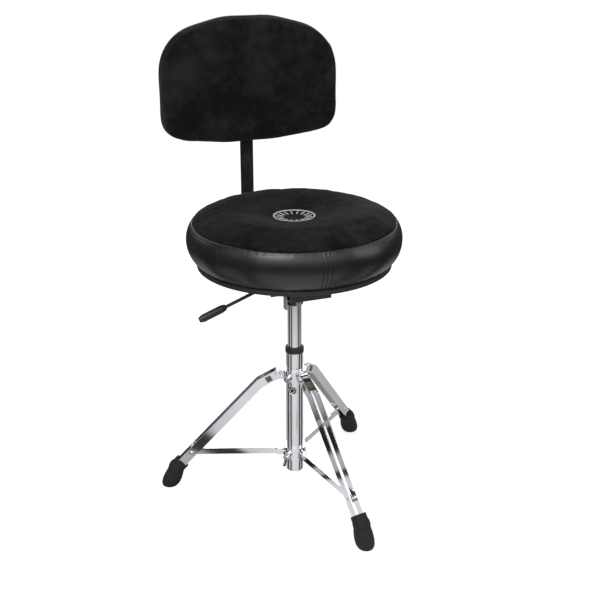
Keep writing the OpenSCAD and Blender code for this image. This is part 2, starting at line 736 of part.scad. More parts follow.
module strut(i) color("gainsboro") radial(leg_angles[i]) difference() {
    union() {
        upright(-strut_t / 2, strut_t) polygon(concat(
            arc(strut_in, strut_w / 2, strut_tilt + 90, strut_tilt + 270),
            arc(rivet, strut_w / 2, strut_tilt - 90, strut_tilt + 90)));
        cross(rivet, 5.5, boss_w);
    }
    cross(strut_in, pin_r + RUN, 20);
    cross(rivet, pin_r, 20);
}

// ---- all pieces, moved to the part's frame ----

translate(shift) {
    base_tube();
    column_bush();
    leg_collar();
    leg_pivot_bolts();
    collar_set_screw();
    tube_end_plate();
    bearing_lower_race();
    bearing_balls();
    bearing_upper_race();
    piston_rod();
    piston();
    rod_clip();
    rubber_buffer();
    gas_cylinder();
    rod_guide();
    release_button();
    column_hub();
    hub_screw();
    seat_channel();
    mounting_bolts();
    tee_nuts();
    lever_pin();
    lever_clip();
    lever_rod();
    lever_grip();
    bar_guide();
    depth_screw();
    depth_knob();
    seat_board();
    seat_trim();
    seat_foam();
    seat_side_cover();
    seat_top_cover();
    back_bar();
    back_clamp();
    height_screw();
    height_knob();
    back_board();
    back_screws();
    back_foam();
    back_front_cover();
    back_rear_cover();
    lower_collar();
    strut_pins();
    wing_bolt();
    for (i = [0:2]) {
        leg_strips(i);
        leg_rivets(i);
        leg_spacer(i);
        leg_boot(i);
        strut(i);
    }
}
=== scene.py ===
import json
import math
from math import cos, pi, radians, sin

import bmesh
import bpy
import numpy as np
from mathutils import Matrix, Vector, noise
from mathutils.geometry import convex_hull_2d
from mathutils.kdtree import KDTree


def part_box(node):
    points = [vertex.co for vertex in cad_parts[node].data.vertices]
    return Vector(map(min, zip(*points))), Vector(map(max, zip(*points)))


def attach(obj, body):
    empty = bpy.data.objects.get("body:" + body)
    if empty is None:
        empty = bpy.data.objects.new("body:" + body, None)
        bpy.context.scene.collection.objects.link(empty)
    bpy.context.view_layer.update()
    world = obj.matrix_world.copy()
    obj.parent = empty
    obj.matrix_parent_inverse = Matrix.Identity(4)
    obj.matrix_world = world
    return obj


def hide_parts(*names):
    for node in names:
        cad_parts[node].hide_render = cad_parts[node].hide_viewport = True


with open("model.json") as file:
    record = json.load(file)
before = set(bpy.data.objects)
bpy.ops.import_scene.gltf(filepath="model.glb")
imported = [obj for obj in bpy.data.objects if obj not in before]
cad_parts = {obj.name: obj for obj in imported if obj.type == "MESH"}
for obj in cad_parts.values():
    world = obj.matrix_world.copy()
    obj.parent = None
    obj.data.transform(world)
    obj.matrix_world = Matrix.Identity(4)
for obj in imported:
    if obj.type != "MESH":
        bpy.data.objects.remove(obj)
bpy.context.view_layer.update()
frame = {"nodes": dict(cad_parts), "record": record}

# ---------------------------------------------------------------------------------------------------
# Place of the throne. The column's axis stands a little off the frame's origin, and the seat turns
# about it. The viewer stands in front, to the sitter's right, and looks down on the seat.
# ---------------------------------------------------------------------------------------------------
tube_low, tube_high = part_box("base_tube")
axis_x = (tube_low[0] + tube_high[0]) / 2
axis_y = (tube_low[1] + tube_high[1]) / 2
VIEW_TURN = radians(-22)
VIEW_PITCH = radians(21.32)
VIEW_DISTANCE = 1.6007
VIEW_HEIGHT = 1.0024
VIEW_SIDESTEP = 0.0099

side = Vector((cos(VIEW_TURN), sin(VIEW_TURN), 0))
away = Vector((-sin(VIEW_TURN), cos(VIEW_TURN), 0))
eye = Vector((axis_x, axis_y, VIEW_HEIGHT)) - VIEW_DISTANCE * away + VIEW_SIDESTEP * side
looking = away * cos(VIEW_PITCH) - Vector((0, 0, sin(VIEW_PITCH)))
camera = bpy.data.objects.new("camera", bpy.data.cameras.new("camera"))
camera.data.lens = 57.72
camera.data.sensor_width = 36
camera.data.clip_end = 60
camera.matrix_world = Matrix.Translation(eye) @ looking.to_track_quat("-Z", "Y").to_matrix().to_4x4()
bpy.context.scene.collection.objects.link(camera)
bpy.context.scene.camera = camera
bpy.context.scene.view_settings.view_transform = "Standard"


# ---------------------------------------------------------------------------------------------------
# Shading. A Field is one value or colour that changes over a surface, and plain arithmetic on fields
# adds the nodes. A Finish is one material, whose constants sit on the shader's own sockets.
# ---------------------------------------------------------------------------------------------------
class Field:
    def __init__(self, finish, socket):
        self.finish, self.socket = finish, socket

    def maths(self, operation, a, b):
        return self.finish.node("ShaderNodeMath", {0: a, 1: b}, operation=operation)

    def __add__(self, other):
        return self.maths("ADD", self, other)

    def __sub__(self, other):
        return self.maths("SUBTRACT", self, other)

    def __rsub__(self, other):
        return self.maths("SUBTRACT", other, self)

    def __mul__(self, other):
        return self.maths("MULTIPLY", self, other)

    __radd__, __rmul__ = __add__, __mul__


class Finish:
    def __init__(self, name, tree=None, **constants):
        if tree is None:
            self.material = bpy.data.materials.new(name)
            self.material.use_nodes = True
            tree = self.material.node_tree
        self.tree = tree
        self.shader = tree.nodes.get("Principled BSDF")
        for socket, value in constants.items():
            self.shader.inputs[socket.replace("_", " ")].default_value = value

    def node(self, kind, sockets=None, output=0, stops=None, **settings):
        made = self.tree.nodes.new(kind)
        for name, value in settings.items():
            setattr(made, name, value)
        if stops:
            ramp = made.color_ramp
            while len(ramp.elements) < len(stops):
                ramp.elements.new(0.5)
            for element, (place, colour) in zip(ramp.elements, stops):
                element.position, element.color = place, (*colour, 1)
        for name, value in (sockets or {}).items():
            if isinstance(value, Field):
                self.tree.links.new(value.socket, made.inputs[name])
            else:
                made.inputs[name].default_value = value
        return Field(self, made.outputs[output])

    def places(self, stretch=(1, 1, 1)):
        where = self.node("ShaderNodeTexCoord", output="Object")
        return self.node("ShaderNodeMapping", {"Vector": where, "Scale": stretch})

    def clouds(self, scale, detail=3, rough=0.5, stretch=(1, 1, 1)):
        return self.node("ShaderNodeTexNoise", {"Vector": self.places(stretch), "Scale": scale, "Detail": detail,
                                                "Roughness": rough})

    def ramped(self, field, *stops):
        return self.node("ShaderNodeValToRGB", {0: field}, stops=[(p, (v, v, v)) for p, v in stops])

    def blend(self, factor, first, second):
        return self.node("ShaderNodeMix", {0: factor, 6: (*first, 1) if isinstance(first, tuple) else first,
                                           7: (*second, 1) if isinstance(second, tuple) else second},
                         output=2, data_type="RGBA")

    def lay(self, **fields):
        for name, field in fields.items():
            self.tree.links.new(field.socket, self.shader.inputs[name.replace("_", " ")])
        return self.material

    def relief(self, height, depth, strength=1.0, under=None):
        sockets = {"Height": height, "Distance": depth, "Strength": strength}
        if under:
            sockets["Normal"] = under
        return self.node("ShaderNodeBump", sockets)


# ---------------------------------------------------------------------------------------------------
# Studio. A white sweep, a large soft lamp above on the sitter's right, a weaker one on the left and a
# low one behind. No screens stand by the set: for mirror rays the floor glows in painted dark and bright
# bands, and the sky shows the same bands, a painted reflection that gives polished metal its lines.
# ---------------------------------------------------------------------------------------------------
FLOOR_SIZE = 60
floor_mesh = bpy.data.meshes.new("floor")
corners = [(x * FLOOR_SIZE / 2, y * FLOOR_SIZE / 2, 0) for x, y in ((-1, -1), (1, -1), (1, 1), (-1, 1))]
floor_mesh.from_pydata(corners, [], [(0, 1, 2, 3)])
floor = bpy.data.objects.new("floor", floor_mesh)
bpy.context.scene.collection.objects.link(floor)
paper = Finish("studio_paper", Base_Color=(0.86, 0.86, 0.86, 1), Roughness=0.9, Specular_IOR_Level=0.1)
rays = paper.tree.nodes.new("ShaderNodeLightPath")
glow = paper.node("ShaderNodeEmission", {"Color": (1, 1, 1, 1), "Strength": 1.35})


def screens_around(maker, place, levels):
    """Grey levels round the column, from the bearing of a place or of a direction."""
    apart = maker.tree.nodes.new("ShaderNodeSeparateXYZ")
    maker.tree.links.new(place.socket, apart.inputs[0])
    east, north, up = [Field(maker, apart.outputs[i]) for i in range(3)]
    bearing = maker.node("ShaderNodeMath", {0: north, 1: east}, operation="ARCTAN2") * (0.5 / pi) + 0.5
    across = maker.node("ShaderNodeMath", {0: east * east + north * north, 1: 0.5}, operation="POWER")
    return maker.ramped(bearing, *levels), across, up


# Grey levels, by bearing round the column, of the painted dark and bright reflection bands.
REFLECTION_BANDS = ((0.0, 0.55), (0.03, 0.60), (0.042, 0.05), (0.075, 0.05), (0.088, 0.80), (0.15, 1.0), (0.24, 1.0),
           (0.335, 0.80), (0.35, 0.05), (0.39, 0.05), (0.405, 0.70), (0.44, 0.60), (0.45, 0.02), (0.50, 0.02),
           (0.515, 0.65), (0.70, 0.35), (0.88, 0.60), (0.90, 0.02), (0.955, 0.02), (0.97, 0.60))
round_about, distance, _ = screens_around(paper, paper.node("ShaderNodeMapping", {
    "Vector": paper.node("ShaderNodeTexCoord", output="Object"), "Location": (-axis_x, -axis_y, 0)}), REFLECTION_BANDS)
near_by = paper.ramped(distance * 0.5, (0.34, 1.0), (0.50, 0.62), (0.62, 0.10))
# Painted reflection: for mirror rays the floor glows in these bands, brightest near the column and fading further
# out.
painted_reflection_glow = paper.node("ShaderNodeEmission", {"Strength": round_about * near_by * 0.95})
plain_rays = [Field(paper, rays.outputs[f"Is {kind} Ray"]) for kind in ("Camera", "Glossy", "Transmission")]
lit = paper.node("ShaderNodeMixShader", {0: plain_rays[1] + plain_rays[2], 1: Field(paper, paper.shader.outputs[0]),
                                         2: painted_reflection_glow})
shown = paper.node("ShaderNodeMixShader", {0: plain_rays[0] * 0.6, 1: lit, 2: glow})
paper.tree.links.new(shown.socket, paper.tree.nodes["Material Output"].inputs["Surface"])
floor_mesh.materials.append(paper.material)

world = bpy.data.worlds.new("studio")
world.use_nodes = True
bpy.context.scene.world = world
room = Finish("studio", tree=world.node_tree)
direction = room.node("ShaderNodeTexCoord", output="Generated")
round_about, _, climb = screens_around(room, direction, REFLECTION_BANDS)
overhead = room.ramped(climb, (0.0, 0.03), (0.12, 0.20), (0.30, 1.0), (0.80, 1.0), (0.95, 0.35)) * 1.6
screens = round_about * overhead
path = room.tree.nodes.new("ShaderNodeLightPath")
mirror_ray = Field(room, path.outputs["Is Glossy Ray"])
straight_ray = Field(room, path.outputs["Is Camera Ray"]) + Field(room, path.outputs["Is Transmission Ray"])
soft_light = room.blend(mirror_ray, (0.55, 0.56, 0.58), screens)
colour = room.blend(straight_ray, soft_light, (1.0, 1.0, 1.0))
room.tree.links.new(colour.socket, room.tree.nodes["Background"].inputs["Color"])


def lamp(name, place, aim, size, watts):
    light = bpy.data.lights.new(name, "AREA")
    light.shape, light.size, light.energy = "SQUARE", size, watts
    made = bpy.data.objects.new(name, light)
    place, aim = Vector(place), Vector(aim)
    made.matrix_world = Matrix.Translation(place) @ (aim - place).to_track_quat("-Z", "Y").to_matrix().to_4x4()
    bpy.context.scene.collection.objects.link(made)


lamp("key", (-1.6, -1.7, 2.6), (0, 0, 0.5), 1.6, 46)
lamp("fill", (2.4, -1.4, 1.5), (0, 0, 0.5), 1.8, 16)
lamp("rim", (0.8, 2.3, 2.0), (0, 0, 0.6), 1.2, 26)


# ---------------------------------------------------------------------------------------------------
# Stand. Steel tube, flat strips and cast collars, all polished and chromed. Sharp corners left by the
# saw and the press are eased by a third of a millimetre before plating, so that each edge shines.
# ---------------------------------------------------------------------------------------------------
def as_object(name, mesh, finish, smooth=40):
    mesh.materials.clear()
    mesh.materials.append(finish)
    mesh.polygons.foreach_set("use_smooth", [True] * len(mesh.polygons))
    if smooth:
        mesh.set_sharp_from_angle(angle=radians(smooth))
    made = bpy.data.objects.new(name, mesh)
    bpy.context.scene.collection.objects.link(made)
    return made


def body_of_node(node):
    return next(body for body, nodes in frame["record"]["behaviour"]["bodies"].items() if node in nodes)


def eased(node, finish, width=0.00035, name=None):
    """A copy of a made piece with its hard corners rounded, which is shown in its place."""
    mesh = frame["nodes"][node].data.copy()
    shape = bmesh.new()
    shape.from_mesh(mesh)
    bmesh.ops.remove_doubles(shape, verts=shape.verts, dist=2e-6)
    bmesh.ops.dissolve_limit(shape, angle_limit=radians(0.8), verts=shape.verts, edges=shape.edges)
    hard = [e for e in shape.edges if len(e.link_faces) == 2 and e.calc_face_angle(0) > radians(38)]
    bmesh.ops.bevel(shape, geom=hard, offset=width, offset_type="OFFSET", segments=2, profile=0.6,
                    affect="EDGES", clamp_overlap=True)
    bmesh.ops.recalc_face_normals(shape, faces=shape.faces)
    shape.to_mesh(mesh)
    shape.free()
    made = as_object(name or node + "_finished", mesh, finish, smooth=0)
    lean = np.zeros((len(mesh.vertices), 3))
    for face in mesh.polygons:
        lean[list(face.vertices)] += np.array(face.normal) * face.area
    mesh.normals_split_custom_set_from_vertices(lean / np.maximum(np.linalg.norm(lean, axis=1), 1e-12)[:, None])
    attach(made, body_of_node(node))
    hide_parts(node)
    return made


chrome = Finish("bright_chrome", Metallic=1.0)
film = chrome.clouds(16, detail=4, rough=0.6)
specks = chrome.clouds(1400, detail=2)
swirl = chrome.clouds(260, detail=2, stretch=(1, 1, 0.08))
chrome = chrome.lay(
    Base_Color=chrome.blend(film, (0.76, 0.77, 0.79), (0.62, 0.63, 0.655)),
    Roughness=0.045 + film * 0.09 + specks * 0.02,
    Normal=chrome.relief(swirl + specks * 0.3, 0.00001, 0.35))
for node in ["base_tube", "leg_collar", "leg_pivot_bolts", "gas_cylinder", "lower_collar", "strut_pins", "wing_bolt"]:
    eased(node, chrome)
for leg in (1, 2, 3):
    eased(f"leg_{leg}_strips", chrome, 0.0005)
    eased(f"leg_{leg}_rivets", chrome, 0.0003)
    eased(f"strut_{leg}", chrome, 0.0005)

# ---------------------------------------------------------------------------------------------------
# Small steel: zinc-plated screws, bolts, nuts, rod, races and balls, and the dull clip at the hub.
# ---------------------------------------------------------------------------------------------------
zinc = Finish("zinc_plate", Metallic=1.0)
bloom = zinc.clouds(220, detail=3)
zinc = zinc.lay(
    Base_Color=zinc.blend(bloom, (0.62, 0.63, 0.65), (0.44, 0.45, 0.47)),
    Roughness=0.26 + bloom * 0.2,
    Normal=zinc.relief(zinc.clouds(2600), 0.00002, 0.4))
for part in frame["record"]["subparts"]:
    if part["material_slot"] in ("bright_steel", "zinc"):
        eased(part["node"], zinc, 0.0002)

# ---------------------------------------------------------------------------------------------------
# Black steel: the hub, channel, bar guide, lever, clamp and the backrest's flat bar are powder coated
# in semi-gloss black, with the fine orange peel of that coat and a little rub on it.
# ---------------------------------------------------------------------------------------------------
powder = Finish("black_powder_coat", Specular_IOR_Level=0.5)
peel = powder.clouds(1500, detail=2)
rub = powder.ramped(powder.clouds(55, detail=5, rough=0.65), (0.52, 0.0), (0.78, 1.0))
powder = powder.lay(
    Base_Color=powder.blend(rub, (0.012, 0.012, 0.013), (0.035, 0.035, 0.037)),
    Roughness=0.27 + rub * 0.16 + peel * 0.06,
    Coat_Weight=0.35 - rub * 0.2,
    Normal=powder.relief(peel, 0.00004, 0.5))
for node in ["column_hub", "seat_channel", "bar_guide", "back_bar", "back_clamp", "lever_rod"]:
    eased(node, powder, 0.0006)

# ---------------------------------------------------------------------------------------------------
# Moulded black: the bush in the tube, the seat's edge trim, piston parts, clamp knobs and the back of
# the pad are nylon and ABS with a fine spark texture.
# ---------------------------------------------------------------------------------------------------
def moulded(name, dark, light, gloss):
    finish = Finish(name, Specular_IOR_Level=0.45)
    grain = finish.clouds(2200, detail=2)
    haze = finish.clouds(30, detail=4)
    return finish.lay(
        Base_Color=finish.blend(haze, (dark,) * 3, (light,) * 3),
        Roughness=gloss + haze * 0.12 + grain * 0.08,
        Normal=finish.relief(grain, 0.00005, 0.6))


nylon = moulded("black_nylon", 0.012, 0.026, 0.42)
abs_black = moulded("satin_black", 0.010, 0.018, 0.28)
for node in ["column_bush", "rod_guide", "piston", "seat_trim", "back_rear_cover"]:
    eased(node, nylon, 0.0005)
for node in ["depth_knob", "height_knob"]:
    eased(node, abs_black, 0.0014)

# ---------------------------------------------------------------------------------------------------
# Stop blocks: dark olive plastic, pressed between the strips and showing through their windows.
# ---------------------------------------------------------------------------------------------------
olive = Finish("olive_plastic", Specular_IOR_Level=0.4)
fleck = olive.clouds(700, detail=4)
olive = olive.lay(
    Base_Color=olive.blend(fleck, (0.075, 0.080, 0.052), (0.13, 0.135, 0.095)),
    Roughness=0.5 + fleck * 0.2,
    Normal=olive.relief(fleck, 0.00008, 0.6))
for leg in (1, 2, 3):
    eased(f"leg_{leg}_spacer", olive, 0.0004)

# ---------------------------------------------------------------------------------------------------
# Rubber: moulded boots pushed over the ends of the strips, and the buffer under the gas column. The
# soles and the rims are rounded, and the sides have the dry, faintly dusty skin of black rubber.
# ---------------------------------------------------------------------------------------------------
rubber = Finish("boot_rubber", Specular_IOR_Level=0.25)
dust = rubber.clouds(60, detail=5, rough=0.6)
skin_grain = rubber.clouds(900, detail=3)
rubber = rubber.lay(
    Base_Color=rubber.blend(dust, (0.009, 0.009, 0.010), (0.022, 0.022, 0.024)),
    Roughness=0.52 + dust * 0.2 + skin_grain * 0.1,
    Normal=rubber.relief(skin_grain, 0.00016, 0.7))
BELLY = [(0, 0.80), (0.002, 0.90), (0.006, 1.02), (0.014, 1.11), (0.024, 1.10), (0.034, 1.03), (0.044, 1.0)]
BOOT_LEAN = math.tan(radians(15))


def rounded_boot(boot, sole):
    """The plain boot swells to a belly over its sole, and its foot reaches a little further out."""
    outward = Vector((sole.x - axis_x, sole.y - axis_y, 0)).normalized()
    shape = bmesh.new()
    shape.from_mesh(boot.data)
    for step in range(1, 24):
        whole = shape.verts[:] + shape.edges[:] + shape.faces[:]
        bmesh.ops.bisect_plane(shape, geom=whole, plane_co=(0, 0, 0.002 * step), plane_no=(0, 0, 1), dist=1e-7)
    for point in shape.verts:
        height = point.co.z
        middle = sole - outward * BOOT_LEAN * height
        swell = np.interp(height, *zip(*BELLY))
        low = max(0.0, 1 - height / 0.042)
        flat = Vector((point.co.x - middle.x, point.co.y - middle.y, 0)) * swell + outward * 0.0045 * low
        point.co = Vector((middle.x, middle.y, height)) + flat
    bmesh.ops.triangulate(shape, faces=[face for face in shape.faces if len(face.verts) > 4])
    shape.to_mesh(boot.data)
    shape.free()
    boot.data.polygons.foreach_set("use_smooth", [True] * len(boot.data.polygons))
    lean = np.zeros((len(boot.data.vertices), 3))
    for face in boot.data.polygons:
        lean[list(face.vertices)] += np.array(face.normal) * face.area
    lean /= np.maximum(np.linalg.norm(lean, axis=1), 1e-12)[:, None]
    boot.data.normals_split_custom_set_from_vertices(lean)


for leg in (1, 2, 3):
    mount = next(mount for mount in frame["record"]["mounts"] if mount["name"] == f"foot_{leg}")
    rounded_boot(eased(f"leg_{leg}_boot", rubber, 0.0022), Vector(mount["pos_m"]))
eased("rubber_buffer", rubber, 0.0004)

# ---------------------------------------------------------------------------------------------------
# Lever grip: a soft black plastic handle pushed on the bent end of the rod, plain and rounded.
# ---------------------------------------------------------------------------------------------------
eased("lever_grip", abs_black, 0.0022)

# ---------------------------------------------------------------------------------------------------
# Plywood: the two boards inside the cushions. Birch veneer, seen from below inside the edge trim.
# ---------------------------------------------------------------------------------------------------
plywood = Finish("birch_plywood", Specular_IOR_Level=0.3)
grain = plywood.clouds(60, detail=6, stretch=(1, 14, 14))
plywood = plywood.lay(
    Base_Color=plywood.blend(plywood.ramped(grain, (0.35, 0.0), (0.7, 1.0)), (0.24, 0.165, 0.10), (0.14, 0.09, 0.05)),
    Roughness=0.55 + grain * 0.2,
    Normal=plywood.relief(grain, 0.0001, 0.4))
for node in ("seat_board", "back_board"):
    eased(node, plywood, 0.0003)


# ---------------------------------------------------------------------------------------------------
# Velour: a short black pile, brushed a little by use, so that patches of it lie lighter or darker.
# ---------------------------------------------------------------------------------------------------
velour = Finish("black_velour", Specular_IOR_Level=0.06, Sheen_Weight=0.035, Sheen_Roughness=0.45)
brushed = velour.clouds(11, detail=6, rough=0.62)
crushed = velour.clouds(70, detail=4, rough=0.6)
pile = velour.clouds(1500, detail=2)
worn = velour.ramped(brushed + (crushed - 0.5) * 0.35, (0.42, 0.0), (0.66, 1.0))
pepper = velour.blend(pile, (0.0040, 0.0037, 0.0038), (0.0082, 0.0076, 0.0077))
silver = velour.blend(pile, (0.0105, 0.0094, 0.0095), (0.0250, 0.0226, 0.0224))
velour = velour.lay(
    Base_Color=velour.blend(worn, pepper, silver),
    Roughness=0.86 - worn * 0.08 + pile * 0.08,
    Normal=velour.relief(pile, 0.00022, 0.8, under=velour.relief(crushed, 0.0009, 0.45)))

# ---------------------------------------------------------------------------------------------------
# Vinyl: black upholstery leathercloth, pulled tight round the rim, with a fine pebbled grain that
# softens its shine.
# ---------------------------------------------------------------------------------------------------
vinyl = Finish("black_vinyl", Specular_IOR_Level=0.5)
pebble = vinyl.node("ShaderNodeTexVoronoi", {"Vector": vinyl.places(), "Scale": 620.0}, feature="SMOOTH_F1")
stretch_marks = vinyl.clouds(22, detail=4)
vinyl = vinyl.lay(
    Base_Color=vinyl.blend(stretch_marks, (0.0085, 0.0085, 0.0100), (0.0135, 0.0135, 0.0155)),
    Roughness=0.23 + stretch_marks * 0.09 + pebble * 0.07,
    Normal=vinyl.relief(pebble, 0.00011, 0.55))
thread = Finish("black_thread", Specular_IOR_Level=0.3)
ply = thread.clouds(2400, detail=2)
thread = thread.lay(Base_Color=thread.blend(ply, (0.004, 0.004, 0.004), (0.012, 0.012, 0.013)),
                    Roughness=0.6 + ply * 0.2, Normal=thread.relief(ply, 0.0001, 0.5))


# ---------------------------------------------------------------------------------------------------
# Seat cushion: a foam ring round a dished middle. The top is a velour disc sewn to a vinyl band, which
# is pulled down over the foam and stapled under the board. The foam presses both covers out.
# ---------------------------------------------------------------------------------------------------
def inflated(mesh, voxel, held, reach, pressure=4.0):
    """How far a stuffed cover moves out at any point near it, from a cloth run on the closed shape."""
    trial = bpy.data.objects.new("trial", mesh)
    bpy.context.scene.collection.objects.link(trial)
    grid = trial.modifiers.new("grid", "REMESH")
    grid.mode, grid.voxel_size = "VOXEL", voxel
    trial.data = bpy.data.meshes.new_from_object(trial.evaluated_get(bpy.context.evaluated_depsgraph_get()))
    trial.modifiers.clear()
    start = np.array([v.co for v in trial.data.vertices])
    pins = trial.vertex_groups.new(name="held")
    for index, point in enumerate(start):
        pins.add([index], held(point), "REPLACE")
    cloth = trial.modifiers.new("cloth", "CLOTH")
    cloth.settings.quality = 6
    cloth.settings.mass = 0.3
    cloth.settings.use_pressure = True
    cloth.settings.uniform_pressure_force = pressure
    cloth.settings.effector_weights.gravity = 0
    cloth.settings.vertex_group_mass = "held"
    cloth.point_cache.frame_start, cloth.point_cache.frame_end = 1, 20
    for step in range(1, 21):
        bpy.context.scene.frame_set(step)
    blown = trial.evaluated_get(bpy.context.evaluated_depsgraph_get()).to_mesh()
    moved = np.array([v.co for v in blown.vertices]) - start
    length = np.linalg.norm(moved, axis=1)
    moved *= (reach * np.tanh(length / reach) / np.maximum(length, 1e-9))[:, None]
    bpy.context.scene.frame_set(1)
    bpy.data.objects.remove(trial)
    near = KDTree(len(start))
    for index, point in enumerate(start):
        near.insert(point, index)
    near.balance()

    def shift(point):
        found = near.find_n(point, 8)
        shares = np.array([1 / (distance * distance + 1e-6) for _, _, distance in found])
        return Vector((moved[[index for _, index, _ in found]] * shares[:, None]).sum(0) / shares.sum())

    return shift


def grid_mesh(name, rows):
    """A closed-round skin through rows of points, with its first or last row drawn to one point."""
    around = max(len(row) for row in rows)
    points, faces = [], []
    for row in rows:
        points.extend(row)
    starts, at = [], 0
    for row in rows:
        starts.append(at)
        at += len(row)
    for upper, lower in zip(range(len(rows) - 1), range(1, len(rows))):
        for k in range(around):
            n = (k + 1) % around
            if len(rows[upper]) == 1:
                faces.append((starts[upper], starts[lower] + k, starts[lower] + n))
            elif len(rows[lower]) == 1:
                faces.append((starts[upper] + k, starts[lower], starts[upper] + n))
            else:
                faces.append((starts[upper] + k, starts[lower] + k, starts[lower] + n, starts[upper] + n))
    mesh = bpy.data.meshes.new(name)
    mesh.from_pydata([tuple(p) for p in points], [], faces)
    shape = bmesh.new()
    shape.from_mesh(mesh)
    bmesh.ops.recalc_face_normals(shape, faces=shape.faces)
    shape.to_mesh(mesh)
    shape.free()
    return mesh


rim_low, rim_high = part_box("seat_side_cover")
seat_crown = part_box("seat_top_cover")[1].z
SEAT_RADIUS = (rim_high.x - rim_low.x) / 2
ROLL = 0.052
DISH = 0.019
SEAM = radians(37.5)
TUCK = -math.asin((seat_crown - ROLL - rim_low.z) / ROLL)
roll_centre = SEAT_RADIUS - ROLL
SEAT_SLACK = 0.0022


def seat_point(turn, radius, height):
    return Vector((axis_x + radius * cos(turn), axis_y + radius * sin(turn), height))


def dish_outline(radius):
    return radius, seat_crown - SEAT_SLACK - DISH * cos(pi / 2 * radius / roll_centre) ** 2


def roll_outline(angle):
    reach = ROLL - SEAT_SLACK
    return roll_centre + reach * cos(angle), seat_crown - ROLL + reach * sin(angle)


top_outline = [dish_outline(roll_centre * i / 56) for i in range(56)]
top_outline += [roll_outline(pi / 2 + (SEAM - pi / 2) * i / 20) for i in range(21)]
side_outline = [roll_outline(SEAM + (TUCK - SEAM) * i / 44) for i in range(45)]
AROUND = 300
turns = [2 * pi * k / AROUND for k in range(AROUND)]


def seat_skin(outline, move=lambda turn, radius, height: seat_point(turn, radius, height)):
    rows = []
    for radius, height in outline:
        rows.append([move(turn, radius, height) for turn in (turns if radius > 1e-6 else [0])])
    return rows


closed = top_outline + side_outline[1:] + [(roll_centre, rim_low.z), (0, rim_low.z)]
seam_radius, seam_height = roll_outline(SEAM)


def held_by_seam(point):
    out = math.hypot(point[0] - axis_x, point[1] - axis_y)
    at_seam = math.exp(-(((out - seam_radius) / 0.006) ** 2 + ((point[2] - seam_height) / 0.006) ** 2))
    return min(1.0, max(at_seam, 1.0 if point[2] < rim_low.z + 0.006 else 0.0))


seat_shift = inflated(grid_mesh("seat_form", seat_skin(closed)), 0.006, held_by_seam, 0.0034)
JOIN = radians(-95)


def seat_cover(turn, radius, height):
    """A point of either cover after the foam has pressed it out, with its seams and small puckers."""
    point = seat_point(turn, radius, height)
    outward = Vector((cos(turn), sin(turn), 0))
    up = Vector((0, 0, 1))
    lean = math.atan2(height - (seat_crown - ROLL), radius - roll_centre)
    facing = outward * cos(lean) + up * sin(lean) if radius > roll_centre else up
    below = (SEAM - lean) * ROLL if radius > roll_centre else -0.05 - (roll_centre - radius)
    groove = -0.0016 * math.exp(-(below / 0.0022) ** 2)
    gather = 0.00035 * sin(turn * 83 + 2 * noise.noise(point * 30)) * math.exp(-abs(below) / 0.007)
    tuck = 0.00035 * sin(turn * 46 + 3 * noise.noise(point * 16)) * math.exp(-(height - rim_low.z) / 0.008)
    bumps = 0.0009 * noise.noise(point * 22) + (0.0004 * noise.noise(point * 75) if below < 0 else 0)
    across = ((turn - JOIN + pi) % (2 * pi) - pi) * SEAT_RADIUS
    join, topstitch = 0.0, 0.0
    if below > 0:
        topstitch = -0.0006 * math.exp(-((below - 0.0062) / 0.0011) ** 2)
        join = -0.0010 * math.exp(-(across / 0.0011) ** 2)
        join -= 0.0005 * sum(math.exp(-((across - line) / 0.0009) ** 2) for line in (-0.0078, 0.0078))
        join += 0.0004 * math.exp(-(across / 0.0085) ** 4)
    return point + seat_shift(point) + facing * (groove + gather + tuck + bumps + join + topstitch)


def denser(middle, half, count):
    """Turns of the round, closer together on both sides of the vinyl band's own join."""
    spread = [middle + half * (2 * i / count - 1) for i in range(count + 1)]
    return sorted([t for t in turns if abs((t - middle + pi) % (2 * pi) - pi) > half * 1.02]
                  + [t % (2 * pi) for t in spread])


def covered(name, mesh, finish, thickness=0.0014):
    made = as_object(name, mesh, finish, smooth=0)
    wall = made.modifiers.new("wall", "SOLIDIFY")
    wall.thickness, wall.offset, wall.use_even_offset = thickness, -1, False
    return made


seat_velour = covered("seat_velour", grid_mesh("seat_velour", seat_skin(top_outline, seat_cover)), velour)
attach(seat_velour, "lift")
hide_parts("seat_top_cover", "seat_foam")

all_turns = turns
turns = denser(JOIN, 0.075, 90)
vinyl_rows = seat_skin(side_outline, seat_cover)
vinyl_rows.append([seat_point(turn, 0.1685, rim_low.z + 0.0003) for turn in turns])
turns = all_turns
seat_vinyl = covered("seat_vinyl", grid_mesh("seat_vinyl", vinyl_rows), vinyl)
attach(seat_vinyl, "lift")
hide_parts("seat_side_cover")


